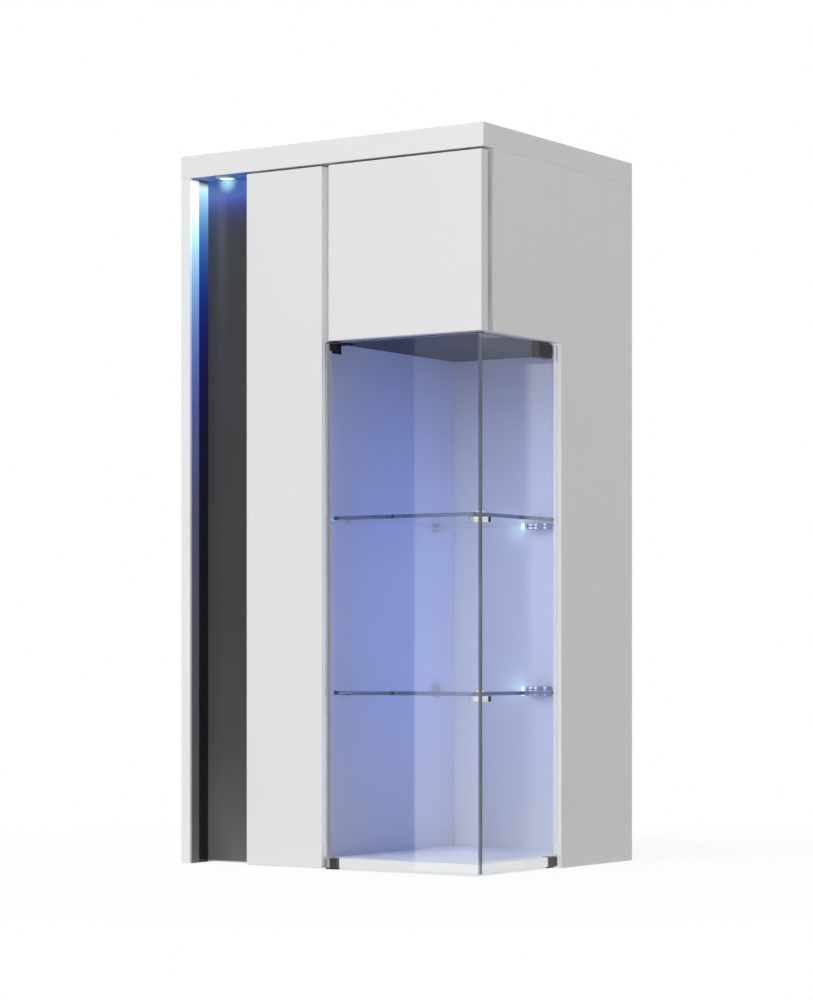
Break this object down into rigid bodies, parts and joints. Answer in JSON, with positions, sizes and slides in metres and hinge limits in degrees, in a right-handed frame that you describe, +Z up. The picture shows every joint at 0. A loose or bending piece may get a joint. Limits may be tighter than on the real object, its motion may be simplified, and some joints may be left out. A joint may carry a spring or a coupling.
{
  "type": "wall display unit",
  "caption": "Tall wall unit with a lit niche, a narrow cupboard door, an upper door and a glazed display corner with glass shelves; the doors swing.",
  "frame": {"origin": "middle of the underside, at the base plane", "axes": "+Z up, -Y to the front with the doors, +X to the glazed side"},
  "size_m": [0.505, 0.402, 1],
  "materials": {
    "white_board": "white laminated board, satin",
    "white_front": "white lacquered front, semi gloss",
    "white_backing": "white hardboard, satin",
    "white_plastic": "moulded, matt",
    "anthracite_board": "anthracite laminate, satin",
    "light_strip": "grey edge-lit strip, satin",
    "black_trim": "black, satin",
    "clear_glass": "clear, polished edges",
    "chrome": "polished",
    "black_fitting": "black, satin",
    "nickel_steel": "nickel plated",
    "bright_steel": "zinc plated",
    "rest_metal": "satin",
    "light_housing": "satin",
    "light_lens": "frosted, lit",
    "dowel_beech": "beech, bare",
    "driver_case": "moulded, matt"
  },
  "bodies": {
    "carcass": {"top_panel": "white_board", "left_side_panel": "white_board", "rear_side_panel": "white_board", "upper_side_panel": "white_board", "display_partition": "white_board", "niche_partition": "white_board", "cupboard_floor": "white_board", "light_bay_floor": "white_board", "display_floor": "white_board", "upper_wall_rail": "white_board", "lower_wall_rail": "white_board", "lower_cupboard_shelf": "white_board", "upper_cupboard_shelf": "white_board", "back_panel": "white_backing", "access_caps": "white_plastic", "niche_back_panel": "anthracite_board", "display_ceiling": "anthracite_board", "niche_cheek_liner": "light_strip", "niche_corner_trim": "black_trim", "side_pane": "clear_glass", "lower_glass_shelf": "clear_glass", "upper_glass_shelf": "clear_glass", "shelf_corner_discs": "chrome", "shelf_corner_buttons": "chrome", "glass_door_brackets": "black_fitting", "side_pane_top_clamp": "black_fitting", "side_pane_bottom_clamp": "black_fitting", "narrow_door_hinge_arms": "nickel_steel", "narrow_door_hinge_plates": "nickel_steel", "upper_door_hinge_arms": "nickel_steel", "upper_door_hinge_plates": "nickel_steel", "cupboard_shelf_pins": "nickel_steel", "narrow_door_hinge_plate_screws": "bright_steel", "upper_door_hinge_plate_screws": "bright_steel", "glass_shelf_rests": "rest_metal", "niche_light_bezel": "light_housing", "shelf_light_clips": "light_housing", "niche_light_lens": "light_lens", "shelf_light_lenses": "light_lens", "light_driver": "driver_case", "carcass_dowels": "dowel_beech"},
    "narrow_door_leaf": {"narrow_door": "white_front", "narrow_door_hinge_cups": "nickel_steel", "narrow_door_hinge_pins": "bright_steel", "narrow_door_hinge_cup_screws": "bright_steel"},
    "upper_door_leaf": {"upper_door": "white_front", "upper_door_hinge_cups": "nickel_steel", "upper_door_hinge_pins": "bright_steel", "upper_door_hinge_cup_screws": "bright_steel"},
    "glass_door_leaf": {"glass_door": "clear_glass", "glass_door_shoes": "black_fitting"}
  },
  "joints": [
    {"name": "narrow_door_swing", "type": "hinge", "parent": "carcass", "child": "narrow_door_leaf", "pos_m": [-0.1275, -0.193, 0.4835], "axis": [0, 0, -1], "range_deg": [0, 95]},
    {"name": "upper_door_swing", "type": "hinge", "parent": "carcass", "child": "upper_door_leaf", "pos_m": [0.2395, -0.193, 0.8445], "axis": [0, 0, 1], "range_deg": [0, 95]},
    {"name": "glass_door_swing", "type": "hinge", "parent": "carcass", "child": "glass_door_leaf", "pos_m": [0.0075, -0.19, 0.362], "axis": [0, 0, -1], "range_deg": [0, 95]}
  ]
}
